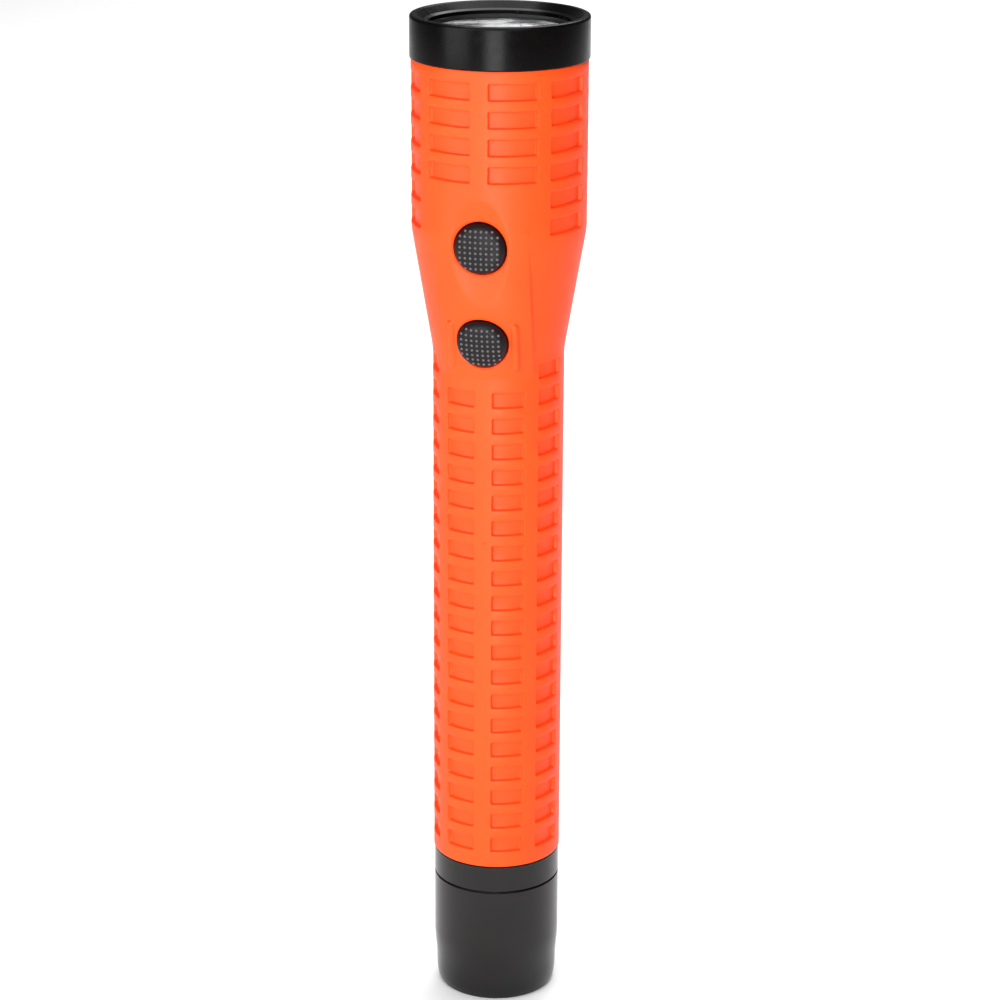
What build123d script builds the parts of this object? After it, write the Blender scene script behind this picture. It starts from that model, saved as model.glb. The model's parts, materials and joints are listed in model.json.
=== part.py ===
from build123d import *
from math import cos, hypot, radians, sin, sqrt
import os

# Duty-size polymer hand torch. It stands on its tail: +Z runs from the tail to the lens, the
# origin is the centre of the tail's flat face, and the two buttons face -Y. Millimetres.

# ---- overall sizes ---------------------------------------------------------------------------
overall_length = 262.8
bezel_radius = 22.5
bezel_height = 10.7
head_radius = 22.15
handle_radius = 16.8
tail_radius = 16.6

seam_z = 39.7                                   # lower end of the orange barrel
cone_bottom_z = 177.9                           # handle meets the cone
cone_top_z = 209.4                              # cone meets the head
shoulder_z = overall_length - bezel_height      # upper end of the orange barrel
seam_gap = 0.15
blend_radius = 20.0

# ---- grip windows ----------------------------------------------------------------------------
window_depth = 1.0
head_window_angles = [22.3, 64.8, 115.2, 157.7]     # from the buttons' side, both ways round
head_window_half_angle = 16.5
head_window_height = 4.35
head_window_pitch = 6.8
head_window_first_z = 244.8
head_window_rows = 6
head_front_rows = 4
handle_window_angles = [22.5, 65.5, 114.5, 157.5]
handle_window_half_angle = 14.75
handle_window_height = 4.2
handle_window_pitch = 6.775
handle_window_first_z = 172.7
handle_window_rows = 20
gate_z = 129.9
gate_angle = 1.7

# ---- switch pad, dish and ridges ---------------------------------------------------------------
pad_half_width = 12.0
pad_crease_z = 192.9
pad_crease_radius = 20.3
pad_bottom_z = 173.6
pad_top_z = 211.1                               # the pad has run out into the head here
dish_z = 203.9                                  # height of the dish's deepest point
dish_floor_radius = 19.35                       # from the torch's axis to the deepest point
dish_side_radius = 30.0                         # the dish's curve from side to side
dish_length_radius = 48.0                       # the dish's curve along the torch
dish_reach = 18.0
ridge_thickness = 2.1
ridge_offset = 8.2
ridge_rise = 0.8
ridge_top_z = 187.6
ridge_bottom_z = 176.5

# ---- buttons -----------------------------------------------------------------------------------
# A button's heights and depths are counted from its plane, whose Z axis points outward.
main_tilt = 2.0
mode_tilt = 15.0
main_plane = Plane((0, -19.5, 207.9), (1, 0, 0), (0, -cos(radians(main_tilt)), -sin(radians(main_tilt))))
mode_plane = Plane((0, -17.8, 183.2), (1, 0, 0), (0, -cos(radians(mode_tilt)), -sin(radians(mode_tilt))))
main_button_height = 2.9
mode_button_height = 2.7
main_button_radius = 6.55
mode_button_radius = 6.4
button_gap = 0.3
button_skirt = 1.6
button_crown = 0.8
button_edge = 1.7
dot_pitch = 1.36
dot_count = 8
dot_reach = 4.35 * dot_pitch
dot_radius = 0.32
dot_height = 0.28
plunger_radius = 2.5
plunger_end = 5.2
seal_seat = 3.4
seal_thickness = 0.8
seal_radius = 8.4
carrier_thickness = 2.0
stem_radius = 1.7
stem_end = 7.2
switch_size = 6.2
switch_top = 6.4
switch_height = 3.0
board_thickness = 1.2
running_fit = 0.05

# ---- head stack --------------------------------------------------------------------------------
spigot_radius = 20.4
spigot_top_z = 256.1
head_bore_radius = 18.5
bezel_bore_radius = 20.55
lip_radius = 18.0
flange_thickness = 1.0
flange_radius = 20.3
lens_thickness = 2.0
lens_seal_thickness = 0.8
focal_length = 2.9
mouth_radius = 17.0
foot_radius = 4.3
reflector_drop = 2.6
heat_sink_bottom_z = 224.0
heat_sink_top_z = 231.0
star_radius = 10.0
star_thickness = 1.6
driver_cavity_radius = 17.5
driver_board_z = 218.5
driver_board_radius = 17.2
bay_bore_radius = 15.4
bay_cone_top_z = 200.0
head_ring_radius = 0.55

flange_top_z = spigot_top_z + flange_thickness
lens_top_z = flange_top_z + lens_thickness
lip_z = lens_top_z + lens_seal_thickness
vertex_z = flange_top_z - mouth_radius**2 / (4 * focal_length)
foot_z = vertex_z + foot_radius**2 / (4 * focal_length)
star_top_z = heat_sink_top_z + star_thickness

# ---- battery -----------------------------------------------------------------------------------
bore_radius = 13.0
liner_outer = 12.95
liner_inner = 12.35
liner_top_z = 166.0
cartridge_radius = 12.2
cartridge_inner = 10.8
cell_radius = 10.6
cell_length = 70.2
cell_count = 2
battery_bottom_z = 12.0
cells_bottom_z = 16.5
contact_carrier_z = 168.0
contact_carrier_thickness = 3.0

# ---- tail --------------------------------------------------------------------------------------
collar_bottom_z = 32.2
socket_radius = 14.3
socket_depth = 8.0
thread_spigot_radius = 14.0
thread_spigot_bottom_z = 20.2
thread_crest_radius = 14.6
thread_pitch = 2.0
thread_turns = 2.5
thread_bottom_z = 21.6
tail_ring_radius = 0.6
tail_ring_z = 29.6
cap_bore_radius = 14.95
cap_bore_bottom_z = 19.0
cap_cavity_radius = 13.45
cap_floor_z = 3.5
cap_rounding_z = 15.5
cap_flat_radius = 14.8
cap_waist_radius = 16.05
cap_waist_z = 7.2
insulator_thickness = 0.45
cup_radius = 13.35
cup_wall = 0.5
spring_wire_radius = 0.55
spring_turns = 3.5

os.makedirs("parts", exist_ok=True)


def save(part, name):
    part.label = name
    export_step(part, f"parts/{name}.step")


def tube(outer, inner, bottom, top):
    with BuildPart() as shape:
        with BuildSketch(Plane.XY.offset(bottom)):
            Circle(outer)
            if inner:
                Circle(inner, mode=Mode.SUBTRACT)
        extrude(amount=top - bottom)
    return shape.part


def ring(centre_radius, wire_radius, height):
    with BuildPart() as shape:
        with BuildSketch(Plane.XZ):
            with Locations((centre_radius, height)):
                Circle(wire_radius)
        revolve(axis=Axis.Z)
    return shape.part


# ---- housing: the orange barrel ----------------------------------------------------------------
def window_ring(angles, half_angle, floor_radius, bottoms, height):
    """Blocks that cut one window at each angle, both ways round from the buttons' side."""
    reach = 2 * floor_radius
    with BuildPart() as blocks:
        with BuildSketch(*[Plane.XY.offset(bottom) for bottom in bottoms]):
            for angle in [side * value for side in (-1, 1) for value in angles]:
                centre = radians(angle - 90)
                spread = radians(half_angle)
                with BuildLine():
                    Polyline(
                        (0, 0),
                        (reach * cos(centre - spread), reach * sin(centre - spread)),
                        (reach * cos(centre + spread), reach * sin(centre + spread)),
                        close=True,
                    )
                make_face()
            Circle(floor_radius, mode=Mode.SUBTRACT)
        extrude(amount=height)
    return blocks.part


def head_windows():
    bottoms = [head_window_first_z - row * head_window_pitch for row in range(head_window_rows)]
    floor = head_radius - window_depth
    front = head_window_angles[:1]
    rest = head_window_angles[1:]
    return [
        window_ring(front, head_window_half_angle, floor, bottoms[:head_front_rows], head_window_height),
        window_ring(rest, head_window_half_angle, floor, bottoms, head_window_height),
    ]


def handle_windows():
    bottoms = [handle_window_first_z - row * handle_window_pitch for row in range(handle_window_rows)]
    floor = handle_radius - window_depth
    front = handle_window_angles[:1]
    rest = handle_window_angles[1:]
    return [
        window_ring(front, handle_window_half_angle, floor, bottoms[1:], handle_window_height),
        window_ring(rest, handle_window_half_angle, floor, bottoms, handle_window_height),
    ]


def pad_shape(rise):
    """The pad's surface turned round the axis, raised by rise, from the head to the handle."""
    with BuildPart() as shape:
        with BuildSketch(Plane.XZ):
            with BuildLine():
                Polyline(
                    (0, pad_bottom_z),
                    (handle_radius + rise, pad_bottom_z),
                    (pad_crease_radius + rise, pad_crease_z),
                    (head_radius + rise, pad_top_z),
                    (0, pad_top_z),
                    close=True,
                )
            make_face()
        revolve(axis=Axis.Z)
    return shape.part


with BuildPart() as switch_pad:
    add(pad_shape(0))
    with BuildSketch(Plane.XY.offset(pad_bottom_z)):
        with Locations((0, -head_radius / 2)):
            Rectangle(2 * pad_half_width, head_radius)
    extrude(amount=pad_top_z - pad_bottom_z, mode=Mode.INTERSECT)

with BuildPart() as guard_ridges:
    add(pad_shape(ridge_rise))
    with BuildSketch(Plane.XY.offset(ridge_bottom_z)):
        for side in (-1, 1):
            with Locations((side * ridge_offset, -handle_radius)):
                Rectangle(ridge_thickness, handle_radius)
    extrude(amount=ridge_top_z - ridge_bottom_z, mode=Mode.INTERSECT)

# The bay behind the buttons: its front faces are the seats of the two button seals.
bay_half_width = 8.8
bay_reach = 9.4
main_up = (sin(radians(-main_tilt)), cos(radians(main_tilt)))
mode_up = (sin(radians(-mode_tilt)), cos(radians(mode_tilt)))


def on_plane(plane, up, depth, rise):
    """The (y, z) point at a depth behind a button plane and a rise along it."""
    normal = plane.z_dir
    return (
        plane.origin.Y - depth * normal.Y + rise * up[0],
        plane.origin.Z - depth * normal.Z + rise * up[1],
    )


def front_points(depth, reach):
    """The side view of both seat planes at one depth, from the top end to the bottom end."""
    return [
        on_plane(main_plane, main_up, depth, reach),
        on_plane(main_plane, main_up, depth, -reach),
        on_plane(mode_plane, mode_up, depth, reach),
        on_plane(mode_plane, mode_up, depth, -reach),
    ]


with BuildPart() as switch_bay:
    with BuildSketch(Plane.YZ):
        with BuildLine():
            Polyline(
                *front_points(seal_seat, bay_reach),
                (-8, mode_plane.origin.Z - bay_reach),
                (-8, main_plane.origin.Z + bay_reach),
                close=True,
            )
        make_face()
    extrude(amount=bay_half_width, both=True)

with BuildPart() as housing:
    with BuildSketch(Plane.XZ) as outer_profile:
        with BuildLine():
            Polyline(
                (0, seam_z),
                (handle_radius, seam_z),
                (handle_radius, cone_bottom_z),
                (head_radius, cone_top_z),
                (head_radius, shoulder_z),
                (spigot_radius, shoulder_z),
                (spigot_radius, spigot_top_z),
                (0, spigot_top_z),
                close=True,
            )
        make_face()
        bends = outer_profile.vertices().filter_by_position(Axis.Y, cone_bottom_z, cone_top_z)
        fillet(bends.group_by(Axis.X)[-1] + bends.group_by(Axis.X)[0], blend_radius)
    revolve(axis=Axis.Z)
    add(switch_pad.part)
    # dish round the main button: a barrel-shaped hollow turned about an upright axis in front
    dish_axis_y = -dish_floor_radius - dish_side_radius
    dish_sag = dish_length_radius - sqrt(dish_length_radius**2 - dish_reach**2)
    with BuildSketch(Plane.YZ):
        with BuildLine():
            dish_curve = ThreePointArc(
                (-dish_floor_radius - dish_sag, dish_z - dish_reach),
                (-dish_floor_radius, dish_z),
                (-dish_floor_radius - dish_sag, dish_z + dish_reach),
            )
            Polyline(
                dish_curve @ 1,
                (dish_axis_y, dish_z + dish_reach),
                (dish_axis_y, dish_z - dish_reach),
                dish_curve @ 0,
            )
        make_face()
    revolve(axis=Axis((0, dish_axis_y, 0), (0, 0, 1)), mode=Mode.SUBTRACT)
    add(guard_ridges.part)
    for blocks in head_windows() + handle_windows():
        add(blocks, mode=Mode.SUBTRACT)
    # gate mark: a shallow round dimple on the front rib
    gate_turn = radians(gate_angle - 90)
    with Locations((handle_radius * cos(gate_turn), handle_radius * sin(gate_turn), gate_z)):
        Sphere(0.45, mode=Mode.SUBTRACT)
    # bore for the battery, the switch parts, the driver and the light unit
    with BuildSketch(Plane.XZ):
        with BuildLine():
            Polyline(
                (0, seam_z),
                (socket_radius, seam_z),
                (socket_radius, seam_z + socket_depth),
                (bore_radius, seam_z + socket_depth),
                (bore_radius, cone_bottom_z),
                (bay_bore_radius, bay_cone_top_z),
                (bay_bore_radius, driver_board_z),
                (driver_cavity_radius, driver_board_z),
                (driver_cavity_radius, heat_sink_bottom_z),
                (head_bore_radius, heat_sink_bottom_z),
                (head_bore_radius, spigot_top_z),
                (0, spigot_top_z),
                close=True,
            )
        make_face()
    revolve(axis=Axis.Z, mode=Mode.SUBTRACT)
    add(switch_bay.part, mode=Mode.SUBTRACT)
    with BuildSketch(main_plane.offset(3)):
        Circle(main_button_radius + button_gap)
    extrude(amount=-8, mode=Mode.SUBTRACT)
    with BuildSketch(mode_plane.offset(3)):
        Circle(mode_button_radius + button_gap)
    extrude(amount=-8, mode=Mode.SUBTRACT)
    # groove for the bezel's seal ring
    with BuildSketch(Plane.XZ):
        with Locations((spigot_radius, shoulder_z + 2)):
            Rectangle(2.3, 1.3)
    revolve(axis=Axis.Z, mode=Mode.SUBTRACT)
save(housing.part, "housing")


# ---- light unit --------------------------------------------------------------------------------
with BuildPart() as bezel:
    with BuildSketch(Plane.XZ) as bezel_profile:
        with BuildLine():
            Polyline(
                (bezel_bore_radius, shoulder_z + 0.02),
                (bezel_radius, shoulder_z + 0.02),
                (bezel_radius, overall_length),
                (bezel_radius - 1.9, overall_length),
                (lip_radius + 1.0, overall_length - 1.6),
                (lip_radius, overall_length - 2.0),
                (lip_radius, lip_z),
                (bezel_bore_radius, lip_z),
                close=True,
            )
        make_face()
        rim = bezel_profile.vertices().group_by(Axis.Y)[-1]
        fillet(rim.sort_by(Axis.X)[-1], 0.8)
        fillet(rim.sort_by(Axis.X)[0], 0.3)
        foot = bezel_profile.vertices().group_by(Axis.Y)[0]
        chamfer(foot.sort_by(Axis.X)[-1], 0.3)
    revolve(axis=Axis.Z)
save(bezel.part, "bezel")
save(ring(19.85, head_ring_radius, shoulder_z + 2), "bezel_seal_ring")
save(tube(flange_radius, lip_radius, lens_top_z, lip_z), "lens_seal")

with BuildPart() as lens:
    with BuildSketch(Plane.XY.offset(flange_top_z)):
        Circle(flange_radius)
    extrude(amount=lens_thickness)
    chamfer(lens.edges().filter_by(GeomType.CIRCLE), 0.25)
save(lens.part, "lens")


def parabola(start_radius, end_radius, drop):
    """The mirror's curve between two radii, moved down by drop, as a three-point Bezier."""
    height = vertex_z - drop
    slope = 4 * focal_length
    return Bezier(
        (start_radius, height + start_radius**2 / slope),
        ((start_radius + end_radius) / 2, height + start_radius * end_radius / slope),
        (end_radius, height + end_radius**2 / slope),
    )


def back_radius(height):
    """The radius of the mirror shell's back at a height."""
    return sqrt((height - vertex_z + reflector_drop) * 4 * focal_length)


with BuildPart() as reflector:
    with BuildSketch(Plane.XZ):
        with BuildLine():
            front = parabola(foot_radius, mouth_radius, 0)
            back = parabola(back_radius(foot_z), back_radius(spigot_top_z), reflector_drop)
            Polyline(front @ 1, (flange_radius, flange_top_z), (flange_radius, spigot_top_z), back @ 1)
            Line(back @ 0, front @ 0)
        make_face()
    revolve(axis=Axis.Z)
save(reflector.part, "reflector")

with BuildPart() as led_gasket:
    with BuildSketch(Plane.XY.offset(star_top_z)):
        Circle(6.2)
        Rectangle(5.4, 5.4, mode=Mode.SUBTRACT)
    extrude(amount=foot_z - star_top_z)
save(led_gasket.part, "led_gasket")

led_base_thickness = 0.9
with BuildPart() as led_base:
    with BuildSketch(Plane.XY.offset(star_top_z)):
        Rectangle(5.0, 5.0)
    extrude(amount=led_base_thickness)
save(led_base.part, "led_base")

dome_radius = 2.2
with BuildPart() as led_dome:
    with Locations((0, 0, star_top_z + led_base_thickness)):
        Sphere(dome_radius, arc_size1=0, arc_size2=90, align=(Align.CENTER, Align.CENTER, Align.MIN))
save(led_dome.part, "led_dome")

screw_offset = 7.9
screw_spots = [(0, screw_offset), (0, -screw_offset)]
lead_spots = [(screw_offset, 0), (-screw_offset, 0)]

with BuildPart() as led_board:
    with BuildSketch(Plane.XY.offset(heat_sink_top_z)):
        Circle(star_radius)
        with PolarLocations(star_radius, 6, start_angle=30):
            Circle(1.2, mode=Mode.SUBTRACT)
        with Locations(*screw_spots):
            Circle(1.15, mode=Mode.SUBTRACT)
    extrude(amount=star_thickness)
save(led_board.part, "led_board")

with BuildPart() as heat_sink:
    with BuildSketch(Plane.XY.offset(heat_sink_bottom_z)):
        Circle(head_bore_radius - running_fit)
    extrude(amount=heat_sink_top_z - heat_sink_bottom_z)
    chamfer(heat_sink.edges().filter_by(GeomType.CIRCLE), 0.5)
    with BuildSketch(Plane.XY.offset(heat_sink_top_z)):
        with Locations(*lead_spots):
            Circle(1.3)
    extrude(amount=heat_sink_bottom_z - heat_sink_top_z, mode=Mode.SUBTRACT)
    with BuildSketch(Plane.XY.offset(heat_sink_top_z)):
        with Locations(*screw_spots):
            Circle(1.05)
    extrude(amount=-5.5, mode=Mode.SUBTRACT)
save(heat_sink.part, "heat_sink")


def pan_screws(plane, spots, head_radius_mm, head_height, shank_radius, length):
    """Cross-head screws on one plane, with their heads on its outer side."""
    with BuildPart() as screws:
        with BuildSketch(plane):
            with Locations(*spots):
                Circle(head_radius_mm)
        extrude(amount=head_height)
        with BuildSketch(plane):
            with Locations(*spots):
                Circle(shank_radius)
        extrude(amount=-length)
        with BuildSketch(plane.offset(head_height)):
            with Locations(*spots):
                Rectangle(head_radius_mm * 1.2, head_radius_mm * 0.25)
                Rectangle(head_radius_mm * 0.25, head_radius_mm * 1.2)
        extrude(amount=-head_height * 0.6, mode=Mode.SUBTRACT)
    return screws.part


save(pan_screws(Plane.XY.offset(star_top_z), screw_spots, 1.6, 1.1, 1.0, 6), "led_board_screws")

lead_radius = 0.6
with BuildPart() as led_leads:
    with BuildSketch(Plane.XY.offset(driver_board_z + board_thickness)):
        with Locations(*lead_spots):
            Circle(lead_radius)
    extrude(amount=heat_sink_top_z - driver_board_z - board_thickness)
save(led_leads.part, "led_leads")


# ---- driver ------------------------------------------------------------------------------------
save(tube(driver_board_radius, 0, driver_board_z, driver_board_z + board_thickness), "driver_board")
driver_top_z = driver_board_z + board_thickness
save(tube(driver_board_radius, 15.6, driver_top_z, heat_sink_bottom_z), "driver_spacer")

with BuildPart() as driver_inductor:
    with BuildSketch(Plane.XY.offset(driver_top_z)):
        with Locations((0, 8)):
            RectangleRounded(7, 7, 1)
    extrude(amount=3.2)
save(driver_inductor.part, "driver_inductor")

with BuildPart() as driver_chips:
    with BuildSketch(Plane.XY.offset(driver_top_z)):
        with Locations((0, -7)):
            Rectangle(5, 5)
        with GridLocations(5.4, 3.2, 2, 2):
            Rectangle(2.4, 1.4)
    extrude(amount=1.2)
save(driver_chips.part, "driver_chips")


# ---- buttons -----------------------------------------------------------------------------------
def cap_height(reach, radius, height):
    """The height of a button's surface at a distance from its centre."""
    edge_reach = max(0, reach - radius + button_edge)
    edge_drop = button_edge - sqrt(button_edge**2 - edge_reach**2)
    return height - button_crown * (reach / radius) ** 2 - edge_drop


def button_cap(plane, radius, height):
    """A round rubber button with a rounded edge, a low crown and a square grid of raised dots."""
    with BuildPart() as cap:
        with BuildSketch(Plane.XZ) as section:
            with BuildLine():
                crown = ThreePointArc(
                    (0, height),
                    (radius / 2, height - button_crown / 4),
                    (radius, height - button_crown),
                )
                Polyline(crown @ 1, (radius, -button_skirt), (0, -button_skirt), crown @ 0)
            make_face()
            outer = section.vertices().group_by(Axis.X)[-1]
            fillet(outer.sort_by(Axis.Y)[-1], button_edge)
        revolve(axis=Axis.Z)
        places = []
        steps = [(index - (dot_count - 1) / 2) * dot_pitch for index in range(dot_count)]
        for across in steps:
            for along in steps:
                reach = hypot(across, along)
                if reach < dot_reach:
                    places.append((across, along, cap_height(reach, radius, height)))
        with Locations(*places):
            Cone(dot_radius, dot_radius / 2, 2 * dot_height)
    return plane.location * cap.part


def button_parts(name, plane, radius, height):
    """One button with its plunger, seal, switch and board, all on the button's own axis."""
    save(button_cap(plane, radius, height), f"{name}_button")
    with BuildPart() as plunger:
        with BuildSketch(plane.offset(-button_skirt)):
            Circle(plunger_radius)
        extrude(amount=button_skirt - plunger_end)
    save(plunger.part, f"{name}_plunger")
    with BuildPart() as seal:
        with BuildSketch(plane.offset(-seal_seat)):
            Circle(seal_radius)
            Circle(plunger_radius + running_fit, mode=Mode.SUBTRACT)
        extrude(amount=-seal_thickness)
    save(seal.part, f"{name}_button_seal")
    with BuildPart() as stem:
        with BuildSketch(plane.offset(-plunger_end)):
            Circle(stem_radius)
        extrude(amount=plunger_end - stem_end)
    save(stem.part, f"{name}_switch_stem")
    with BuildPart() as switch:
        with BuildSketch(plane.offset(-switch_top)):
            RectangleRounded(switch_size, switch_size, 0.4)
        extrude(amount=-switch_height)
        with BuildSketch(plane.offset(-switch_top)):
            Circle(stem_radius + running_fit)
        extrude(amount=-2.2, mode=Mode.SUBTRACT)
    save(switch.part, f"{name}_switch")


button_parts("main", main_plane, main_button_radius, main_button_height)
button_parts("mode", mode_plane, mode_button_radius, mode_button_height)

carrier_front = seal_seat + seal_thickness
carrier_back = carrier_front + carrier_thickness
board_front = switch_top + switch_height
carrier_half_width = bay_half_width - 0.1
carrier_reach = 9.0
post_spots = [(-6, -6), (-6, 6), (6, -6), (6, 6)]
mode_post_spots = [(-5.6, -5), (-5.6, 5), (5.6, -5), (5.6, 5)]

with BuildPart() as switch_carrier:
    with BuildSketch(Plane.YZ):
        with BuildLine():
            Polyline(
                *front_points(carrier_front, carrier_reach),
                *reversed(front_points(carrier_back, carrier_reach)),
                close=True,
            )
        make_face()
    extrude(amount=carrier_half_width, both=True)
    with BuildSketch(main_plane.offset(-carrier_back)):
        with Locations(*post_spots):
            Circle(1.4)
    extrude(amount=carrier_back - board_front)
    with BuildSketch(mode_plane.offset(-carrier_back)):
        with Locations(*mode_post_spots):
            Circle(1.4)
    extrude(amount=carrier_back - board_front)
    with BuildSketch(main_plane.offset(-carrier_front), mode_plane.offset(-carrier_front)):
        Circle(plunger_radius + 0.4)
    extrude(amount=-carrier_thickness, mode=Mode.SUBTRACT)
    with BuildSketch(main_plane.offset(-board_front)):
        with Locations(*post_spots[::3]):
            Circle(0.75)
    extrude(amount=3.0, mode=Mode.SUBTRACT)
    with BuildSketch(mode_plane.offset(-board_front)):
        with Locations(*mode_post_spots[::3]):
            Circle(0.75)
    extrude(amount=3.0, mode=Mode.SUBTRACT)
save(switch_carrier.part, "switch_carrier")


def switch_board(plane, width, height, spots):
    with BuildPart() as board:
        with BuildSketch(plane.offset(-board_front)):
            RectangleRounded(width, height, 1.0)
            with Locations(*spots):
                Circle(0.8, mode=Mode.SUBTRACT)
        extrude(amount=-board_thickness)
    return board.part


def board_screws(plane, spots):
    back = plane.offset(-board_front - board_thickness)
    inward = Plane(back.origin, back.x_dir, -back.z_dir)
    flipped = [(across, -along) for across, along in spots]
    return pan_screws(inward, flipped, 1.3, 0.9, 0.7, 3.8)


save(switch_board(main_plane, 15.6, 15.6, post_spots[::3]), "main_switch_board")
save(switch_board(mode_plane, 14.4, 13.2, mode_post_spots[::3]), "mode_switch_board")
save(board_screws(main_plane, post_spots[::3]), "main_board_screws")
save(board_screws(mode_plane, mode_post_spots[::3]), "mode_board_screws")


# ---- battery and its contacts ------------------------------------------------------------------
contact_carrier_top_z = contact_carrier_z + contact_carrier_thickness
power_spots = [(4, 6), (-4, 6)]
with BuildPart() as power_leads:
    with BuildSketch(Plane.XY.offset(contact_carrier_top_z)):
        with Locations(*power_spots):
            Circle(lead_radius)
    extrude(amount=driver_board_z - contact_carrier_top_z)
save(power_leads.part, "power_leads")

save(tube(bore_radius - running_fit, 1.55, contact_carrier_z, contact_carrier_top_z), "contact_carrier")

cells_top_z = cells_bottom_z + cell_count * cell_length
button_top_z = liner_top_z + 0.6
with BuildPart() as front_contact:
    with BuildSketch(Plane.XY.offset(button_top_z)):
        Circle(4.5)
    extrude(amount=contact_carrier_z - button_top_z)
    with BuildSketch(Plane.XY.offset(contact_carrier_z)):
        Circle(1.5)
    extrude(amount=contact_carrier_thickness + 1.5)
save(front_contact.part, "front_contact")

save(tube(liner_outer, liner_inner, thread_spigot_bottom_z, liner_top_z), "battery_liner")
save(tube(cartridge_radius, cartridge_inner, cells_bottom_z, cells_top_z), "cartridge_sleeve")


def cell(bottom):
    """A round cell with a raised positive nub."""
    with BuildPart() as shape:
        with BuildSketch(Plane.XY.offset(bottom)):
            Circle(cell_radius)
        extrude(amount=cell_length - 1.5)
        fillet(shape.edges().filter_by(GeomType.CIRCLE), 0.6)
        with BuildSketch(Plane.XY.offset(bottom + cell_length - 1.5)):
            Circle(4.2)
        extrude(amount=1.5)
    return shape.part


save(cell(cells_bottom_z), "cell_rear")
save(cell(cells_bottom_z + cell_length), "cell_front")

with BuildPart() as cartridge_rear_cap:
    with BuildSketch(Plane.XY.offset(battery_bottom_z + 0.5)):
        Circle(cartridge_radius)
        Circle(5.0, mode=Mode.SUBTRACT)
    extrude(amount=cells_bottom_z - battery_bottom_z - 0.5)
save(cartridge_rear_cap.part, "cartridge_rear_cap")

with BuildPart() as rear_contact:
    with BuildSketch(Plane.XY.offset(battery_bottom_z)):
        Circle(10.0)
    extrude(amount=0.5)
    with BuildSketch(Plane.XY.offset(battery_bottom_z + 0.5)):
        Circle(4.9)
    extrude(amount=cells_bottom_z - battery_bottom_z - 0.5)
save(rear_contact.part, "rear_contact")

with BuildPart() as cartridge_front_cap:
    with BuildSketch(Plane.XY.offset(cells_top_z)):
        Circle(cartridge_radius)
        Circle(4.4, mode=Mode.SUBTRACT)
    extrude(amount=liner_top_z - cells_top_z - 0.4)
    top_edges = cartridge_front_cap.edges().filter_by(GeomType.CIRCLE).group_by(Axis.Z)[-1]
    chamfer(top_edges.sort_by(SortBy.RADIUS)[-1], 0.8)
save(cartridge_front_cap.part, "cartridge_front_cap")
save(tube(4.3, 0, cells_top_z, button_top_z), "cartridge_front_contact")


# ---- tail --------------------------------------------------------------------------------------
with BuildPart() as thread_ridge:
    with BuildLine() as thread_path:
        Helix(thread_pitch, thread_pitch * thread_turns, thread_spigot_radius, (0, 0, thread_bottom_z))
    rise = thread_crest_radius - thread_spigot_radius
    with BuildSketch(Plane.XZ):
        with BuildLine():
            Polyline(
                (thread_spigot_radius - 0.2, thread_bottom_z - 0.75),
                (thread_spigot_radius + rise, thread_bottom_z - 0.2),
                (thread_spigot_radius + rise, thread_bottom_z + 0.2),
                (thread_spigot_radius - 0.2, thread_bottom_z + 0.75),
                close=True,
            )
        make_face()
    sweep(path=thread_path.wires()[0], is_frenet=True)

with BuildPart() as tail_collar:
    with BuildSketch(Plane.XZ) as collar_profile:
        with BuildLine():
            Polyline(
                (bore_radius + 0.05, thread_spigot_bottom_z),
                (thread_spigot_radius, thread_spigot_bottom_z),
                (thread_spigot_radius, tail_ring_z - 1.8),
                (thread_crest_radius, tail_ring_z - 1.2),
                (thread_crest_radius, collar_bottom_z),
                (tail_radius, collar_bottom_z),
                (tail_radius, seam_z - seam_gap),
                (socket_radius - running_fit, seam_z - seam_gap),
                (socket_radius - running_fit, seam_z + socket_depth),
                (bore_radius + 0.05, seam_z + socket_depth),
                close=True,
            )
        make_face()
        with Locations((thread_crest_radius, tail_ring_z)):
            Rectangle(1.92, 1.4, mode=Mode.SUBTRACT)
        skirt = collar_profile.vertices().group_by(Axis.X)[-1]
        chamfer(skirt, 0.25)
    revolve(axis=Axis.Z)
    add(thread_ridge.part)
save(tail_collar.part, "tail_collar")
save(ring(cap_bore_radius - running_fit - tail_ring_radius, tail_ring_radius, tail_ring_z), "tail_seal_ring")

cap_top_z = collar_bottom_z - seam_gap
with BuildPart() as tail_cap:
    with BuildSketch(Plane.XZ) as cap_profile:
        with BuildLine():
            round_end = (cap_flat_radius + 0.55, 0.75)
            rounding = Spline(
                (tail_radius, cap_rounding_z),
                (cap_waist_radius, cap_waist_z),
                round_end,
                tangents=((0, -1), (-0.45, -1)),
            )
            toe = ThreePointArc(round_end, (cap_flat_radius + 0.25, 0.22), (cap_flat_radius - 0.4, 0))
            Polyline(
                toe @ 1,
                (0, 0),
                (0, cap_floor_z),
                (cap_cavity_radius, cap_floor_z),
                (cap_cavity_radius, cap_bore_bottom_z),
                (cap_bore_radius, cap_bore_bottom_z),
                (cap_bore_radius, cap_top_z),
                (tail_radius, cap_top_z),
                rounding @ 0,
            )
        make_face()
        mouth = cap_profile.vertices().group_by(Axis.Y)[-1]
        chamfer(mouth, 0.3)
    revolve(axis=Axis.Z)
save(tail_cap.part, "tail_cap")

cup_floor_z = cap_floor_z + 0.05 + insulator_thickness
save(tube(cup_radius - 0.3, 0, cap_floor_z + 0.05, cup_floor_z), "tail_insulator")

with BuildPart() as contact_cup:
    with BuildSketch(Plane.XY.offset(cup_floor_z)):
        Circle(cup_radius)
    extrude(amount=thread_spigot_bottom_z - cup_floor_z - 0.05)
    with BuildSketch(Plane.XY.offset(cup_floor_z + cup_wall)):
        Circle(cup_radius - cup_wall)
    extrude(amount=thread_spigot_bottom_z - cup_floor_z, mode=Mode.SUBTRACT)
save(contact_cup.part, "contact_cup")

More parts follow.
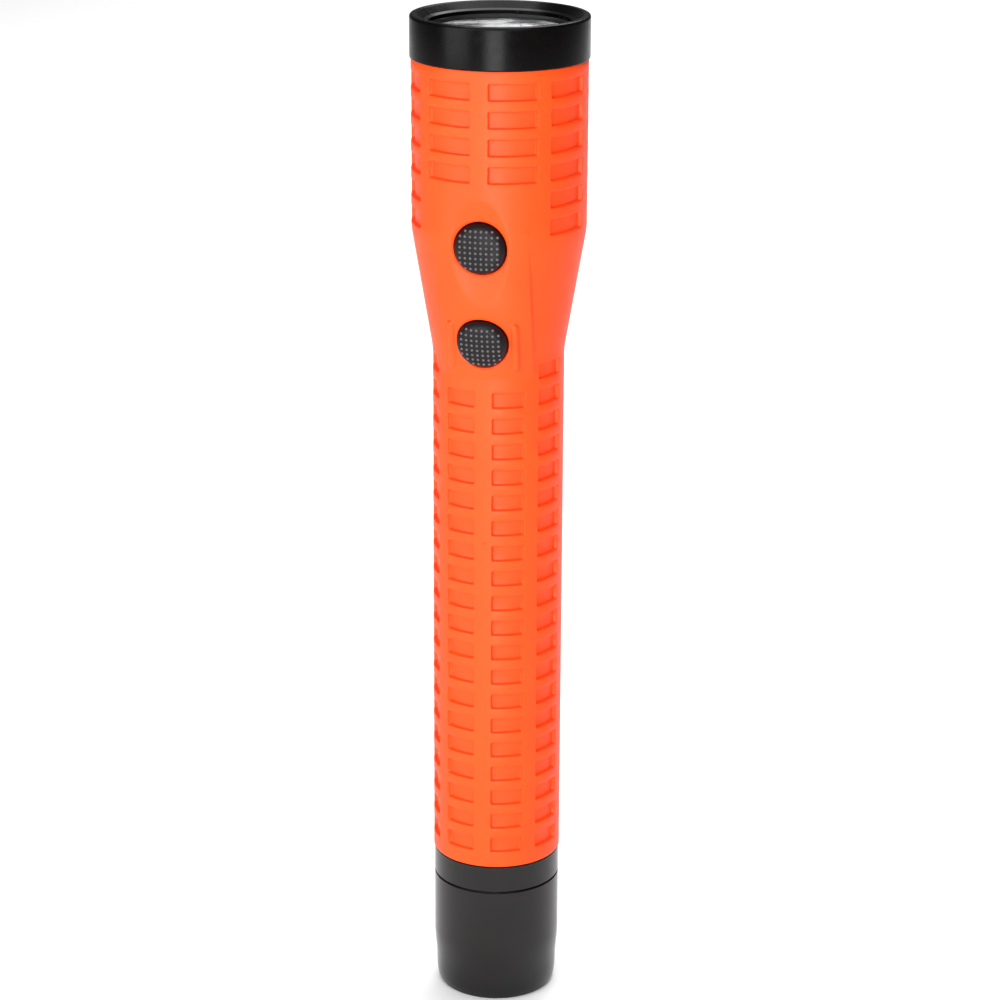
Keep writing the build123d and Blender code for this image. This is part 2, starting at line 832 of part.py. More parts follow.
spring_bottom_z = cup_floor_z + cup_wall + spring_wire_radius
spring_rise = battery_bottom_z - spring_wire_radius - 0.02 - spring_bottom_z
spring_radius = 9.0
spring_lean = 20.0
with BuildPart() as tail_spring:
    with BuildLine() as spring_path:
        Helix(
            spring_rise / spring_turns,
            spring_rise,
            spring_radius,
            (0, 0, spring_bottom_z),
            cone_angle=-spring_lean,
        )
    start = spring_path.wires()[0]
    with BuildSketch(Plane(start @ 0, z_dir=start % 0)):
        Circle(spring_wire_radius)
    sweep(path=start, is_frenet=True)
save(tail_spring.part, "tail_spring")
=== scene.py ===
import bpy, bmesh, json, math
import numpy as np
from mathutils import Vector, Euler, Matrix


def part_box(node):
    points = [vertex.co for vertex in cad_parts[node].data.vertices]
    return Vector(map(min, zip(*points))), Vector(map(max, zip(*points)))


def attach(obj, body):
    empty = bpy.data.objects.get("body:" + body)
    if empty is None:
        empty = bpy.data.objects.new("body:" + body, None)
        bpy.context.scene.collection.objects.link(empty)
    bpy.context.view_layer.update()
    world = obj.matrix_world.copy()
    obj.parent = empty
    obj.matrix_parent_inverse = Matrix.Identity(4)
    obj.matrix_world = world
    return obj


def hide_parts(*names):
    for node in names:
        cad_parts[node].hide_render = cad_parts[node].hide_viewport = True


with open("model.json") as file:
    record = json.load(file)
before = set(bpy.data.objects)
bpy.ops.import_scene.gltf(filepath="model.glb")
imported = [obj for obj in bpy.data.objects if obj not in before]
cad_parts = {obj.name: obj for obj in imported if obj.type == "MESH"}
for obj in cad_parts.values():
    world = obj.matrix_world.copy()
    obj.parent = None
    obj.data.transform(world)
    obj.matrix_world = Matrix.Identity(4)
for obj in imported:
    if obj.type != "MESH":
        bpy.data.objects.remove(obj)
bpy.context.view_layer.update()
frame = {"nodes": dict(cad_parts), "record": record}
record = frame["record"]
slot_of = {part["node"]: part["material_slot"] for part in record["subparts"]}

MM = 0.001


def box_mm(node):
    low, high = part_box(node)
    return low / MM, high / MM


# ---- sizes in millimetres, in the CAD's frame -----------------------------------------------------
seam_z = box_mm("housing")[0].z
spigot_top_z = box_mm("housing")[1].z
head_radius = box_mm("housing")[1].x
bezel_top = box_mm("bezel")[1]
bezel_radius, rim_z = bezel_top.x, bezel_top.z
shoulder_z = rim_z - 10.7
handle_radius = 16.8
cone_bottom_z = 177.9
cone_top_z = 209.4
cone_blend = 0.29

# grip windows
head_angles = (22.3, 64.8, 115.2, 157.7)
head_half_angle = 16.5
head_window_height = 4.35
head_bottoms = [244.8 - 6.8 * row for row in range(6)]
handle_angles = (22.5, 65.5, 114.5, 157.5)
handle_half_angle = 14.75
handle_window_height = 4.2
handle_bottoms = [172.7 - 6.775 * row for row in range(20)]
head_front_rows, handle_front_rows = range(4), range(1, 20)
window_corner, window_depth = 0.55, 1.0
# a window wall's profile: steps inward from the outline, and the share of the depth reached at each
edge_steps = (-0.14, 0.0, 0.08, 0.26, 0.42)
edge_share = (0.0, 0.05, 0.24, 0.95, 1.0)
far_from_windows = -9.0

# switch pad, the dish in it and the guard ridges
pad_half_width = 12.0
pad_wall_lean = 0.2
pad_bottom_z, pad_crease_z, pad_top_z = 173.6, 192.9, 211.1
pad_crease_radius = 20.3
dish_z, dish_floor_radius = 203.9, 19.35
dish_side_radius, dish_length_radius = 30.0, 48.0
dish_reach, dish_soft = 18, 0.3
past_any_radius = 99.0
ridge_offset, ridge_half, ridge_rise = 8.2, 1.05, 0.8
ridge_bottom_z, ridge_top_z = 176.5, 187.6
pad_crease_soft, pad_wall_soft, pad_foot_soft = 0.05, 0.12, 0.06

# gate mark and the barrel's eased ends
gate_angle, gate_z, gate_radius, gate_depth = 1.7, 129.9, 0.5, 0.3
end_reach, end_depth = 0.25, 0.18

# how near two lines of the barrel's mesh may come, in degrees and in millimetres
least_angle_gap, least_height_gap = 0.12, 0.06

# bores, and the fits of the bezel and lens
spigot_radius = 20.4
groove_z, groove_half, groove_radius = shoulder_z + 2, 0.65, 19.25
head_bore, sink_seat_z = 18.5, 224.0
driver_bore, driver_seat_z = 17.5, 218.5
bay_bore, bay_bottom_z = 15.4, 200.0
handle_bore, collar_seat_z = 13.0, 47.7
collar_bore = 14.3
bezel_bore, lip_radius = 20.55, 18.0
lens_radius, lens_top_z, lens_thickness = 20.3, rim_z - 3.7, 2

# buttons and the bay behind them
main_tilt, mode_tilt = 2.0, 15.0
main_origin = (0, -19.5, 207.9)
mode_origin = (0, -17.8, 183.2)
button_radius = {"main": 6.55, "mode": 6.4}
button_height = {"main": 2.9, "mode": 2.7}
hole_gap = 0.3
hole_flare, flare_depth = 0.5, 0.35
hole_foot, hole_top = -7, 6
seal_seat, bay_reach, bay_half_width, bay_back_y = 3.4, 9.4, 8.8, -8
dot_pitch, dots_per_row, dot_radius, dot_rise = 1.36, 8, 0.32, 0.27
dotted_radius = 4.35 * dot_pitch


def button_matrix(origin, tilt):
    """The frame of a button: its Z axis points outward, in millimetres."""
    lean = math.radians(tilt)
    out = Vector((0, -math.cos(lean), -math.sin(lean)))
    across = Vector((1, 0, 0))
    up = out.cross(across)
    turn = Matrix((across, up, out)).transposed().to_4x4()
    return Matrix.Translation(origin) @ turn


main_frame = button_matrix(main_origin, main_tilt)
mode_frame = button_matrix(mode_origin, mode_tilt)


# ---- mesh helpers -----------------------------------------------------------------------------
def add_mesh(name, verts, faces, sharp_angle=40):
    """A mesh object from millimetre vertices, smooth shaded except over sharp edges."""
    mesh = bpy.data.meshes.new(name)
    mesh.from_pydata([tuple(MM * c for c in v) for v in verts], [], faces)
    work = bmesh.new()
    work.from_mesh(mesh)
    bmesh.ops.recalc_face_normals(work, faces=work.faces)
    work.to_mesh(mesh)
    work.free()
    shade(mesh, sharp_angle)
    obj = bpy.data.objects.new(name, mesh)
    bpy.context.scene.collection.objects.link(obj)
    return obj


def shade(mesh, sharp_angle):
    """Smooth shading, with hard edges where faces meet at more than the angle."""
    mesh.polygons.foreach_set("use_smooth", [True] * len(mesh.polygons))
    mesh.set_sharp_from_angle(angle=math.radians(sharp_angle))
    mesh.update()


def rounded(corners, closed, steps=5):
    """Profile points from (radius, height, rounding) corners."""
    points = []
    count = len(corners)
    for index, (r, z, rounding) in enumerate(corners):
        here = Vector((r, z))
        ends = not closed and index in (0, count - 1)
        if rounding == 0 or ends:
            points.append((r, z))
            continue
        before = Vector(corners[index - 1][:2]) - here
        after = Vector(corners[(index + 1) % count][:2]) - here
        angle = before.angle(after)
        reach = min(rounding / math.tan(angle / 2), 0.49 * before.length, 0.49 * after.length)
        start = here + before.normalized() * reach
        end = here + after.normalized() * reach
        for step in range(steps + 1):
            t = step / steps
            bend = (1 - t) ** 2 * start + 2 * t * (1 - t) * here + t ** 2 * end
            points.append((bend.x, bend.y))
    return points


def revolve(name, profile, turns=192, sharp_angle=40):
    """A solid turned round the Z axis; profile points on the axis become single vertices."""
    verts, rings = [], []
    angles = [2 * math.pi * k / turns for k in range(turns)]
    for r, z in profile:
        if r < 1e-6:
            rings.append([len(verts)] * turns)
            verts.append((0, 0, z))
        else:
            rings.append(list(range(len(verts), len(verts) + turns)))
            verts += [(r * math.cos(a), r * math.sin(a), z) for a in angles]
    on_axis = min(r for r, z in profile) < 1e-6
    pairs = list(zip(rings, rings[1:]))
    if not on_axis:
        pairs.append((rings[-1], rings[0]))
    faces = []
    for low, high in pairs:
        for k in range(turns):
            n = (k + 1) % turns
            quad = list(dict.fromkeys((low[k], low[n], high[n], high[k])))
            if len(quad) > 2:
                faces.append(quad)
    return add_mesh(name, verts, faces, sharp_angle)


def cut(obj, cutter, sharp_angle=40):
    """Takes the cutter's volume out of an object and removes the cutter."""
    step = obj.modifiers.new("cut", "BOOLEAN")
    step.operation = "DIFFERENCE"
    step.solver = "MANIFOLD"
    step.object = cutter
    done = bpy.data.meshes.new_from_object(obj.evaluated_get(bpy.context.evaluated_depsgraph_get()))
    obj.modifiers.clear()
    obj.data = done
    shade(done, sharp_angle)
    bpy.data.objects.remove(cutter)


def put_at(obj, place):
    """Moves a mesh by a matrix whose lengths are millimetres."""
    obj.data.transform(Matrix.Scale(MM, 4) @ place @ Matrix.Scale(1 / MM, 4))


def set_painted_light_mask(obj, values):
    """Marks the vertices that take a finish's painted light colour: painted shade on the grip windows'
    floors, painted highlights on the button dots.
    """
    painted_light_mask = obj.data.attributes.new("painted_light_mask", "FLOAT", "POINT")
    painted_light_mask.data.foreach_set("value", values)


# ---- housing: the orange barrel -------------------------------------------------------------------
def smooth_max(a, b, soft):
    """The larger of two values, rounded over where they come within soft of each other."""
    h = np.clip(0.5 + (a - b) / (2 * soft), 0, 1)
    return b * (1 - h) + a * h + soft * h * (1 - h)


def smooth_min(a, b, soft):
    return -smooth_max(-a, -b, soft)


def base_radius(z):
    """The barrel's plain outline: handle, cone and head, blended."""
    slope = (head_radius - handle_radius) / (cone_top_z - cone_bottom_z)
    cone = handle_radius + slope * (z - cone_bottom_z)
    return smooth_min(smooth_max(cone, handle_radius + 0 * z, cone_blend), head_radius + 0 * z, cone_blend)


def window_field(theta, z, angles, half_angle, bottoms, height, front_rows, radius):
    """Distance inside the nearest window's outline, in millimetres, positive inside.

    The columns nearest the buttons have windows in front_rows only.
    """
    inside = np.full(theta.shape, far_from_windows)
    for angle in angles:
        for side in (-1, 1):
            turn = (theta - side * angle + 180) % 360 - 180
            across = np.abs(np.radians(turn)) * radius - math.radians(half_angle) * radius
            for row, bottom in enumerate(bottoms):
                if angle == angles[0] and row not in front_rows:
                    continue
                along = np.abs(z - bottom - height / 2) - height / 2
                u, v = across + window_corner, along + window_corner
                far = np.hypot(np.maximum(u, 0), np.maximum(v, 0)) + np.minimum(np.maximum(u, v), 0)
                inside = np.maximum(inside, window_corner - far)
    return inside


def window_share(theta, z):
    """How far down a window's wall a place lies: 0 on the ribs, 1 on the window floors."""
    head = window_field(theta, z, head_angles, head_half_angle, head_bottoms, head_window_height,
                        head_front_rows, head_radius)
    handle = window_field(theta, z, handle_angles, handle_half_angle, handle_bottoms,
                          handle_window_height, handle_front_rows, handle_radius)
    return np.interp(np.maximum(head, handle), edge_steps, edge_share)


def outer_radius(theta, z):
    """The housing's surface at an angle from the buttons' side and a height."""
    base = base_radius(z)
    turn = np.radians(theta)
    side, front = np.abs(np.sin(turn)), np.cos(turn)
    button_side = front > 0.5
    # switch pad
    lower_share = (z - pad_bottom_z) / (pad_crease_z - pad_bottom_z)
    upper_share = (z - pad_crease_z) / (pad_top_z - pad_crease_z)
    lower = handle_radius + (pad_crease_radius - handle_radius) * lower_share
    upper = pad_crease_radius + (head_radius - pad_crease_radius) * upper_share
    pad = smooth_min(lower, upper, pad_crease_soft)
    edge_front = np.sqrt(np.maximum(pad ** 2 - pad_half_width ** 2, 0))
    wall = (pad_half_width + pad_wall_lean * edge_front) / (side + pad_wall_lean * front)
    wall = np.where(front > 0.2, wall, 0)
    pad = smooth_min(pad, wall, pad_wall_soft)
    on_pad = (z > pad_bottom_z - 1) & (z < pad_top_z + 1) & button_side
    radius = np.where(on_pad, smooth_max(pad, base, pad_foot_soft), base)
    # dish round the main button
    centre = dish_floor_radius + dish_side_radius
    rise = np.clip(z - dish_z, -dish_reach, dish_reach)
    girth = dish_side_radius - dish_length_radius + np.sqrt(dish_length_radius ** 2 - rise ** 2)
    square = girth ** 2 - (centre * side) ** 2
    hollow = centre * front - np.sqrt(np.maximum(square, 0))
    hollow = np.where((square > 0) & button_side, hollow, past_any_radius)
    radius = smooth_min(radius, hollow, dish_soft)
    # guard ridges beside the mode button
    x = radius * np.sin(turn)
    away = np.abs(np.abs(x) - ridge_offset) / ridge_half
    past = np.maximum(np.maximum(ridge_bottom_z - z, z - ridge_top_z) / ridge_half, 0)
    reach = np.clip(np.hypot(away, past), 0, 1)
    radius = radius + np.where(button_side, ridge_rise * (1 - reach ** 2), 0)
    # flared seats of the buttons
    y = -radius * front
    for name, place in (("main", main_frame), ("mode", mode_frame)):
        hole_radius = button_radius[name] + hole_gap
        local = place.inverted()
        u = local[0][0] * x + local[0][1] * y + local[0][2] * z + local[0][3]
        v = local[1][0] * x + local[1][1] * y + local[1][2] * z + local[1][3]
        gap = np.clip(1 - (np.hypot(u, v) - hole_radius) / hole_flare, 0, 1)
        radius = radius - np.where(button_side, flare_depth * gap ** 2, 0)
    # grip windows
    radius = radius - window_depth * window_share(theta, z)
    # gate mark
    off = np.hypot(np.radians(theta - gate_angle) * handle_radius, z - gate_z)
    radius = radius - gate_depth * np.clip(1 - (off / gate_radius) ** 2, 0, 1)
    # eased ends of the barrel
    for end in (z - seam_z, shoulder_z - z):
        radius = radius - end_depth * np.clip(1 - end / end_reach, 0, 1) ** 2
    return radius


def merged(values, gap):
    """Sorted values, leaving out any that sit closer than gap to the one before."""
    kept = []
    for value in sorted(values):
        if not kept or value - kept[-1] > gap:
            kept.append(value)
    return kept


def theta_lines():
    """The angles of the barrel's mesh: at every window edge, and fine over the switch pad."""
    lines = set(np.arange(-180, 180, 2.5))
    for angles, half, radius in ((head_angles, head_half_angle, head_radius),
                                 (handle_angles, handle_half_angle, handle_radius)):
        for angle in angles:
            for side in (-1, 1):
                for edge in (-1, 1):
                    for step in edge_steps:
                        inward = math.degrees(step / radius)
                        lines.add(side * angle + edge * (half - inward))
    lines |= set(np.arange(-31, 31, 0.8))
    for ridge_and_wall in (np.arange(20, 29, 0.4), np.arange(31, 49, 0.45)):
        lines |= set(ridge_and_wall) | set(-ridge_and_wall)
    lines |= set(gate_angle + np.arange(-1.6, 1.7, 0.4))
    return np.array(merged([value for value in lines if -180 <= value < 180], least_angle_gap))


def height_lines():
    """The heights of the barrel's mesh, chosen as its angles are."""
    lines = set(np.arange(seam_z + 1.5, shoulder_z - 0.5, 2.2))
    for bottoms, height in ((head_bottoms, head_window_height), (handle_bottoms, handle_window_height)):
        for bottom in bottoms:
            for step in edge_steps:
                lines |= {bottom + step, bottom + height - step}
    lines |= set(np.arange(pad_bottom_z, pad_top_z + 14, 0.35))
    lines |= set(gate_z + np.arange(-0.6, 0.7, 0.15))
    lines |= {seam_z + 0.08, seam_z + end_reach, shoulder_z - end_reach, shoulder_z - 0.08}
    inner = [value for value in lines if seam_z + 0.05 < value < shoulder_z - 0.05]
    return np.array([seam_z] + merged(inner, least_height_gap) + [shoulder_z])


def build_housing():
    """The barrel as one closed skin: its outside going up, then its bores going down."""
    theta, z = theta_lines(), height_lines()
    field_theta, field_z = np.meshgrid(theta, z)
    outer = outer_radius(field_theta, field_z)
    groove_bottom_z, groove_top_z = groove_z - groove_half, groove_z + groove_half
    inner = [
        (spigot_radius, shoulder_z), (spigot_radius, groove_bottom_z), (groove_radius, groove_bottom_z),
        (groove_radius, groove_top_z), (spigot_radius, groove_top_z), (spigot_radius, spigot_top_z),
        (head_bore, spigot_top_z), (head_bore, sink_seat_z), (driver_bore, sink_seat_z),
        (driver_bore, driver_seat_z), (bay_bore, driver_seat_z), (bay_bore, bay_bottom_z),
        (handle_bore, cone_bottom_z), (handle_bore, collar_seat_z), (collar_bore, collar_seat_z),
        (collar_bore, seam_z),
    ]
    radii = list(outer) + [np.full(len(theta), r) for r, _ in inner]
    heights = list(z) + [h for _, h in inner]
    turn = np.radians(theta)
    verts = []
    for radius, height in zip(radii, heights):
        verts += list(zip(radius * np.sin(turn), -radius * np.cos(turn), np.full(len(theta), height)))
    count, rows = len(theta), len(radii)
    faces = []
    for row in range(rows):
        above = (row + 1) % rows
        for k in range(count):
            n = (k + 1) % count
            faces.append((row * count + k, row * count + n, above * count + n, above * count + k))
    body = add_mesh("barrel", verts, faces)
    cut(body, switch_bay())
    for name, place in (("main", main_frame), ("mode", mode_frame)):
        hole_radius = button_radius[name] + hole_gap
        profile = [(0, hole_foot), (hole_radius, hole_foot), (hole_radius, hole_top), (0, hole_top)]
        hole = revolve("hole", profile, 128)
        put_at(hole, place)
        cut(body, hole)
    # Painted shade: the window floors get a darker orange through this attribute, standing in for the shade
    # in the recesses.
    spots = np.empty(3 * len(body.data.vertices))
    body.data.vertices.foreach_get("co", spots)
    x, y, z = spots.reshape(-1, 3).T / MM
    set_painted_light_mask(body, window_share(np.degrees(np.arctan2(x, -y)), z))
    return body


def switch_bay():
    """The room behind the buttons, whose front faces seat the two seals."""
    points = [place @ Vector((0, along, -seal_seat))
              for place in (main_frame, mode_frame) for along in (bay_reach, -bay_reach)]
    outline = [(p.y, p.z) for p in points]
    outline += [(bay_back_y, mode_origin[2] - bay_reach), (bay_back_y, main_origin[2] + bay_reach)]
    count = len(outline)
    verts = [(side * bay_half_width, y, z) for side in (-1, 1) for y, z in outline]
    faces = [tuple(range(count)), tuple(range(count, 2 * count))[::-1]]
    faces += [(k, (k + 1) % count, count + (k + 1) % count, count + k) for k in range(count)]
    return add_mesh("bay", verts, faces)


# ---- bezel and lens -------------------------------------------------------------------------------
def build_bezel():
    """The black ring round the lens, with a sloping mouth and an inward lip."""
    lip_z = rim_z - 2.9
    foot_z = shoulder_z + 0.02
    corners = [
        (bezel_bore, foot_z, 0.2), (bezel_radius, foot_z, 0.35), (bezel_radius, rim_z, 0.9),
        (bezel_radius - 1.7, rim_z, 0.5), (lip_radius + 1.0, rim_z - 1.6, 0.25),
        (lip_radius, rim_z - 2.0, 0.2), (lip_radius, lip_z, 0.1), (bezel_bore, lip_z, 0.2),
    ]
    return revolve("bezel_ring", rounded(corners, True), 256)


def build_lens():
    """A flat clear disc with eased edges."""
    foot_z = lens_top_z - lens_thickness
    corners = [
        (0, foot_z, 0), (lens_radius, foot_z, 0.3), (lens_radius, lens_top_z, 0.3), (0, lens_top_z, 0),
    ]
    return revolve("lens_disc", rounded(corners, False), 192)


# ---- buttons --------------------------------------------------------------------------------------
def add_dot(verts, faces, seat, up, turns=10):
    """Adds one small dome to a mesh's lists: rings of (share of radius, share of rise) and a tip."""
    across = up.cross(Vector((0, 1, 0))).normalized()
    along = up.cross(across)
    first = len(verts)
    rings = ((1.25, -0.3), (1.0, 0.02), (0.86, 0.5), (0.5, 0.88))
    for share, lift in rings:
        for k in range(turns):
            a = 2 * math.pi * k / turns
            point = seat + dot_radius * share * (across * math.cos(a) + along * math.sin(a))
            verts.append(tuple(point + up * dot_rise * lift))
    for ring in range(len(rings) - 1):
        low, high = first + ring * turns, first + (ring + 1) * turns
        for k in range(turns):
            n = (k + 1) % turns
            faces.append((low + k, low + n, high + n, high + k))
    last = first + (len(rings) - 1) * turns
    verts.append(tuple(seat + up * dot_rise))
    faces += [(last + k, last + (k + 1) % turns, len(verts) - 1) for k in range(turns)]
    faces.append(tuple(range(first, first + turns))[::-1])


def build_button(name, place, radius, height, skirt=1.6, crown=0.8, edge=1.7):
    """A rubber button: a rounded dome with a square grid of small raised dots."""
    profile = [(0, -skirt), (radius - 0.15, -skirt), (radius, -skirt + 0.15)]
    flat = radius - edge

    def surface(reach):
        over = max(0, min(reach - flat, edge))
        return height - crown * (reach / radius) ** 2 - edge + math.sqrt(edge ** 2 - over ** 2)

    profile += [(radius, height - crown - edge)]
    for step in range(1, 13):
        a = math.radians(90 * step / 12)
        reach = flat + edge * math.cos(a)
        profile.append((reach, surface(reach)))
    profile += [(reach, surface(reach)) for reach in (4.0, 3.2, 2.4, 1.6, 0.8)] + [(0, height)]
    cap = revolve(name, profile, 128)
    verts = [tuple(v.co / MM) for v in cap.data.vertices]
    faces = [tuple(p.vertices) for p in cap.data.polygons]
    spots = [(k - (dots_per_row - 1) / 2) * dot_pitch for k in range(dots_per_row)]
    for x in spots:
        for y in spots:
            reach = math.hypot(x, y)
            if reach > dotted_radius:
                continue
            lean = (surface(reach + 0.05) - surface(reach - 0.05)) / 0.1
            away = Vector((x, y, 0)).normalized()
            up = (Vector((0, 0, 1)) - away * lean).normalized()
            add_dot(verts, faces, Vector((x, y, surface(reach))), up)
    plain = len(cap.data.vertices)
    bpy.data.objects.remove(cap)
    button = add_mesh(name, verts, faces, 50)
    # Painted highlight: the dots' vertices are marked to take a light grey, standing in for the glints on
    # their tops.
    set_painted_light_mask(button, [float(k >= plain) for k in range(len(verts))])
    put_at(button, place)
    return button


# ---- materials ------------------------------------------------------------------------------------
def noise(tree, scale, detail=3.0, rough=0.5, stretch=None):
    """Noise in object space; scale is in features per metre."""
    where = tree.nodes.new("ShaderNodeTexCoord")
    shape = tree.nodes.new("ShaderNodeMapping")
    shape.inputs["Scale"].default_value = stretch or (1, 1, 1)
    tree.links.new(where.outputs["Object"], shape.inputs["Vector"])
    texture = tree.nodes.new("ShaderNodeTexNoise")
    texture.inputs["Scale"].default_value = scale
    texture.inputs["Detail"].default_value = detail
    texture.inputs["Roughness"].default_value = rough
    tree.links.new(shape.outputs["Vector"], texture.inputs["Vector"])
    return texture.outputs["Fac"]


def span(tree, value, low, high, start=0.3, stop=0.7):
    """Spreads a noise value from start..stop to low..high."""
    node = tree.nodes.new("ShaderNodeMapRange")
    for socket, number in (("From Min", start), ("From Max", stop), ("To Min", low), ("To Max", high)):
        node.inputs[socket].default_value = number
    tree.links.new(value, node.inputs["Value"])
    return node.outputs["Result"]


def blend_colour(tree, share, first, second):
    node = tree.nodes.new("ShaderNodeMix")
    node.data_type = "RGBA"
    node.inputs["A"].default_value = (*first, 1)
    node.inputs["B"].default_value = (*second, 1)
    tree.links.new(share, node.inputs["Factor"])
    return node.outputs["Result"]


def material(name, colour, second, rough, rough_span=0.08, metal=0.0, specular=0.5, grain=2500,
             grain_depth=0.012, patch=70, wave=0.0, wave_scale=120, stretch=None, coat=0.0, painted_light=None):
    """A procedural finish: patchy colour, uneven roughness and a fine moulded or machined grain."""
    made = bpy.data.materials.new(name)
    made.use_nodes = True
    tree = made.node_tree
    skin = tree.nodes["Principled BSDF"]
    skin.inputs["Metallic"].default_value = metal
    skin.inputs["Specular IOR Level"].default_value = specular
    skin.inputs["Coat Weight"].default_value = coat
    skin.inputs["Coat Roughness"].default_value = 0.25
    tint = blend_colour(tree, span(tree, noise(tree, patch, 4.0), 0, 1), colour, second)
    # Painted light: where the mesh attribute is 1 the colour switches to a third one, which paints shade
    # into the grip windows' floors and highlights onto the button dots.
    if painted_light:
        painted_light_mask = tree.nodes.new("ShaderNodeAttribute")
        painted_light_mask.attribute_name = "painted_light_mask"
        mix = tree.nodes.new("ShaderNodeMix")
        mix.data_type = "RGBA"
        mix.inputs["B"].default_value = (*painted_light, 1)
        tree.links.new(painted_light_mask.outputs["Fac"], mix.inputs["Factor"])
        tree.links.new(tint, mix.inputs["A"])
        tint = mix.outputs["Result"]
    tree.links.new(tint, skin.inputs["Base Color"])
    uneven = noise(tree, 6 * patch, 3.0, 0.6, stretch)
    tree.links.new(span(tree, uneven, rough - rough_span, rough + rough_span), skin.inputs["Roughness"])
    fine = tree.nodes.new("ShaderNodeBump")
    fine.inputs["Strength"].default_value = 1.0
    fine.inputs["Distance"].default_value = grain_depth * MM
    tree.links.new(noise(tree, grain, 2.0, 0.6, stretch), fine.inputs["Height"])
    if wave:
        broad = tree.nodes.new("ShaderNodeBump")
        broad.inputs["Strength"].default_value = 1.0
        broad.inputs["Distance"].default_value = wave * MM
        tree.links.new(noise(tree, wave_scale, 1.0), broad.inputs["Height"])
        tree.links.new(broad.outputs["Normal"], fine.inputs["Normal"])
    tree.links.new(fine.outputs["Normal"], skin.inputs["Normal"])
    return made


finish = {
    # Painted shade: the third colour is the darker orange painted on the grip windows' floors.
    "orange_nylon": material("orange_nylon", (0.93, 0.067, 0.0062), (0.90, 0.060, 0.0052), 0.44, 0.05,
                             specular=0.20, grain=2600, grain_depth=0.006, wave=0.02, wave_scale=90,
                             painted_light=(0.88, 0.060, 0.0065)),
    "black_nylon": material("black_nylon", (0.0022, 0.0017, 0.0016), (0.0036, 0.0030, 0.0029), 0.23,
                            0.04, specular=0.36, grain=3000, grain_depth=0.006, wave=0.012),
    "black_bezel": material("black_bezel", (0.0012, 0.0009, 0.0008), (0.0022, 0.0018, 0.0017), 0.25,
                            0.04, specular=0.09, grain=3400, grain_depth=0.004, wave=0.008),
    # Painted highlight: the third colour is the light grey painted on the buttons' dots.
    "button_rubber": material("button_rubber", (0.0030, 0.0026, 0.0034), (0.0060, 0.0054, 0.0064), 0.5,
                              0.08, specular=0.2, grain=3600, grain_depth=0.01,
                              painted_light=(0.11, 0.098, 0.104)),
    "seal_rubber": material("seal_rubber", (0.010, 0.010, 0.010), (0.018, 0.018, 0.018), 0.6, 0.08),
    "mirror_coat": material("mirror_coat", (0.96, 0.96, 0.97), (0.92, 0.93, 0.94), 0.24, 0.03, metal=1.0,
                            grain=1500, grain_depth=0.003),
    "white_plastic": material("white_plastic", (0.80, 0.80, 0.77), (0.72, 0.72, 0.69), 0.42),
    "white_ceramic": material("white_ceramic", (0.82, 0.82, 0.79), (0.76, 0.76, 0.73), 0.5),
    "led_phosphor": material("led_phosphor", (0.86, 0.66, 0.08), (0.90, 0.74, 0.16), 0.2, coat=0.6),
    "white_board": material("white_board", (0.84, 0.84, 0.83), (0.76, 0.77, 0.77), 0.3, coat=0.3),
    "bare_aluminium": material("bare_aluminium", (0.72, 0.73, 0.75), (0.60, 0.61, 0.63), 0.32, metal=1.0,
                               grain=900, grain_depth=0.01, stretch=(1, 1, 12)),
    "steel": material("steel", (0.62, 0.62, 0.64), (0.50, 0.50, 0.51), 0.3, metal=1.0, grain=2600),
    "wire_jacket": material("wire_jacket", (0.45, 0.015, 0.012), (0.36, 0.012, 0.010), 0.45),
    "green_board": material("green_board", (0.012, 0.11, 0.035), (0.02, 0.16, 0.05), 0.3,
                            coat=0.4, patch=500),
    "inner_plastic": material("inner_plastic", (0.022, 0.022, 0.024), (0.034, 0.034, 0.036), 0.45),
    "chip_plastic": material("chip_plastic", (0.012, 0.012, 0.013), (0.022, 0.022, 0.023), 0.5, grain=5000),
    "brass": material("brass", (0.62, 0.44, 0.17), (0.48, 0.32, 0.11), 0.28, metal=1.0, patch=150),
    "cell_wrap": material("cell_wrap", (0.02, 0.10, 0.34), (0.03, 0.13, 0.40), 0.25, coat=0.5),
    "insulator_fibre": material("insulator_fibre", (0.28, 0.06, 0.03), (0.20, 0.04, 0.02), 0.6, grain=1200,
                                grain_depth=0.03),
}


def lens_finish():
    """Clear polycarbonate with faint haze."""
    made = material("clear_lens", (1.0, 1.0, 1.0), (0.97, 0.98, 0.98), 0.03, 0.02, grain_depth=0.0005)
    skin = made.node_tree.nodes["Principled BSDF"]
    skin.inputs["Transmission Weight"].default_value = 1.0
    skin.inputs["IOR"].default_value = 1.58
    return made


finish["clear_lens"] = lens_finish()


def dress(obj, slot):
    obj.data.materials.clear()
    obj.data.materials.append(finish[slot])


# ---- pieces ---------------------------------------------------------------------------------------
def place_piece(obj, body, node):
    """Gives a piece its finish, the body that it moves with and the CAD node that it replaces."""
    dress(obj, slot_of[node])
    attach(obj, body)
    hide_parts(node)


for name, node in frame["nodes"].items():
    dress(node, slot_of[name])

place_piece(build_housing(), "torch", "housing")
place_piece(build_bezel(), "torch", "bezel")
place_piece(build_lens(), "torch", "lens")
for name, place in (("main", main_frame), ("mode", mode_frame)):
    pad = build_button(name + "_pad", place, button_radius[name], button_height[name])
    place_piece(pad, name + "_button", name + "_button")


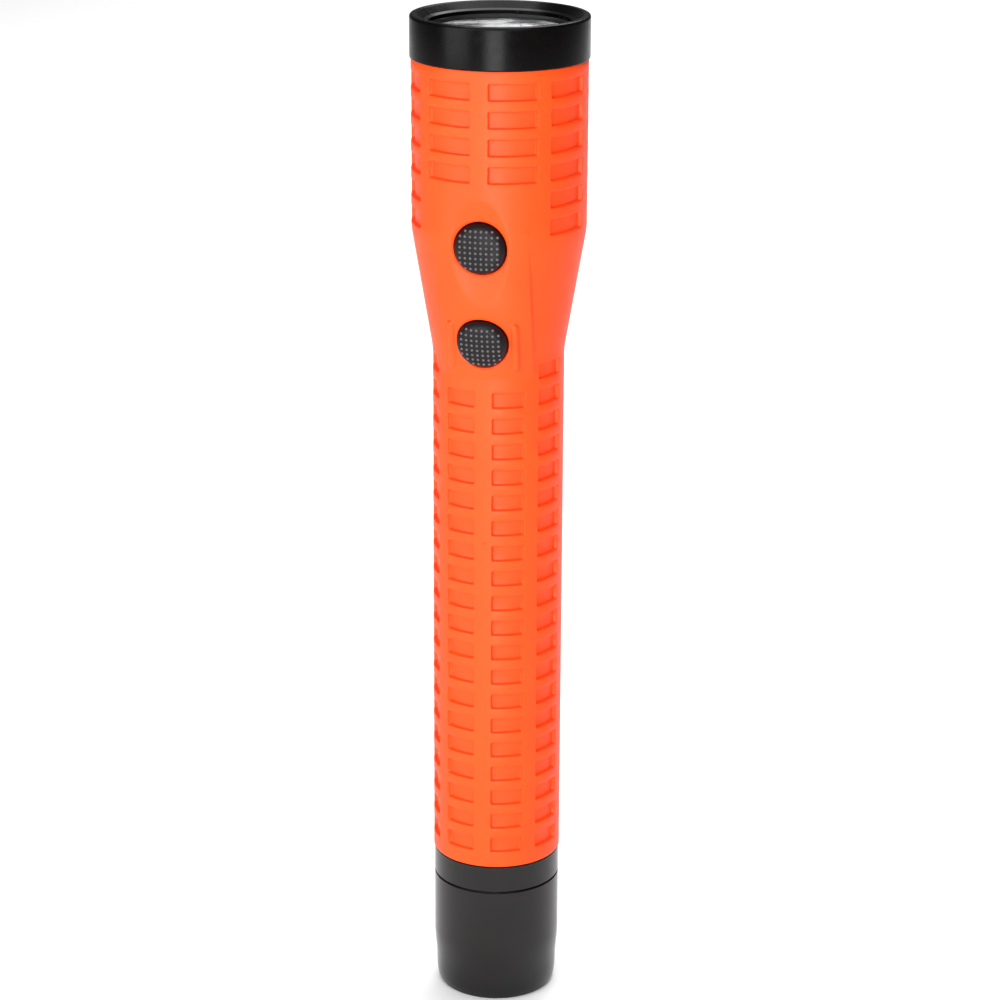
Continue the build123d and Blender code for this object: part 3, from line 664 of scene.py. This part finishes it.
# ---- camera, light and floor ----------------------------------------------------------------------
def add_camera():
    """A long lens a little above the bezel, looking down at the torch from the front right."""
    height_over_rim = 0.11635
    distance = 0.74115
    azimuth = math.radians(13.4)
    pitch = math.radians(18.134)
    roll = math.radians(0.2456)
    data = bpy.data.cameras.new("camera")
    data.lens = 108.06
    data.sensor_width = 36.0
    data.shift_x = 0.00200
    data.clip_start = 0.01
    camera = bpy.data.objects.new("camera", data)
    camera.location = (distance * math.sin(azimuth), -distance * math.cos(azimuth),
                       rim_z * MM + height_over_rim)
    turn = Euler((math.pi / 2 - pitch, 0, azimuth)).to_matrix() @ Euler((0, 0, roll)).to_matrix()
    camera.rotation_euler = turn.to_euler()
    bpy.context.scene.collection.objects.link(camera)
    bpy.context.scene.camera = camera


def area_light(name, place, target, size, power):
    """A rectangular lamp at a place, turned to a target, in metres and watts."""
    data = bpy.data.lights.new(name, "AREA")
    data.shape = "RECTANGLE"
    data.size, data.size_y = size
    data.energy = power
    lamp = bpy.data.objects.new(name, data)
    lamp.location = place
    lamp.rotation_euler = (Vector(target) - Vector(place)).to_track_quat("-Z", "Y").to_euler()
    bpy.context.scene.collection.objects.link(lamp)


add_camera()
middle = (0, 0, 0.13)
area_light("key", (-0.72, -0.78, 0.2), middle, (0.6, 0.9), 8.2)
area_light("front_strip", (0.08, -0.655, 0.155), (0, 0, 0.155), (0.24, 0.3), 2.6)
area_light("fill", (0.75, -0.55, 0.55), middle, (0.4, 0.7), 0.5)
area_light("top", (0.12, -1.25, 0.9), middle, (2.0, 1.2), 22)
area_light("backdrop", (0, 1.3, 1.6), (0, 1.45, 0), (1.2, 2.8), 58)

world = bpy.data.worlds.new("studio")
world.use_nodes = True
world.node_tree.nodes["Background"].inputs["Color"].default_value = (1, 1, 1, 1)
world.node_tree.nodes["Background"].inputs["Strength"].default_value = 0.1
bpy.context.scene.world = world
bpy.context.scene.view_settings.view_transform = "Standard"

bpy.ops.mesh.primitive_plane_add(size=6)
floor = bpy.context.object
floor.name = "floor"
floor.data.materials.append(material("floor_paper", (0.80, 0.80, 0.80), (0.79, 0.79, 0.79), 0.8, grain=400))

bpy.context.view_layer.update()
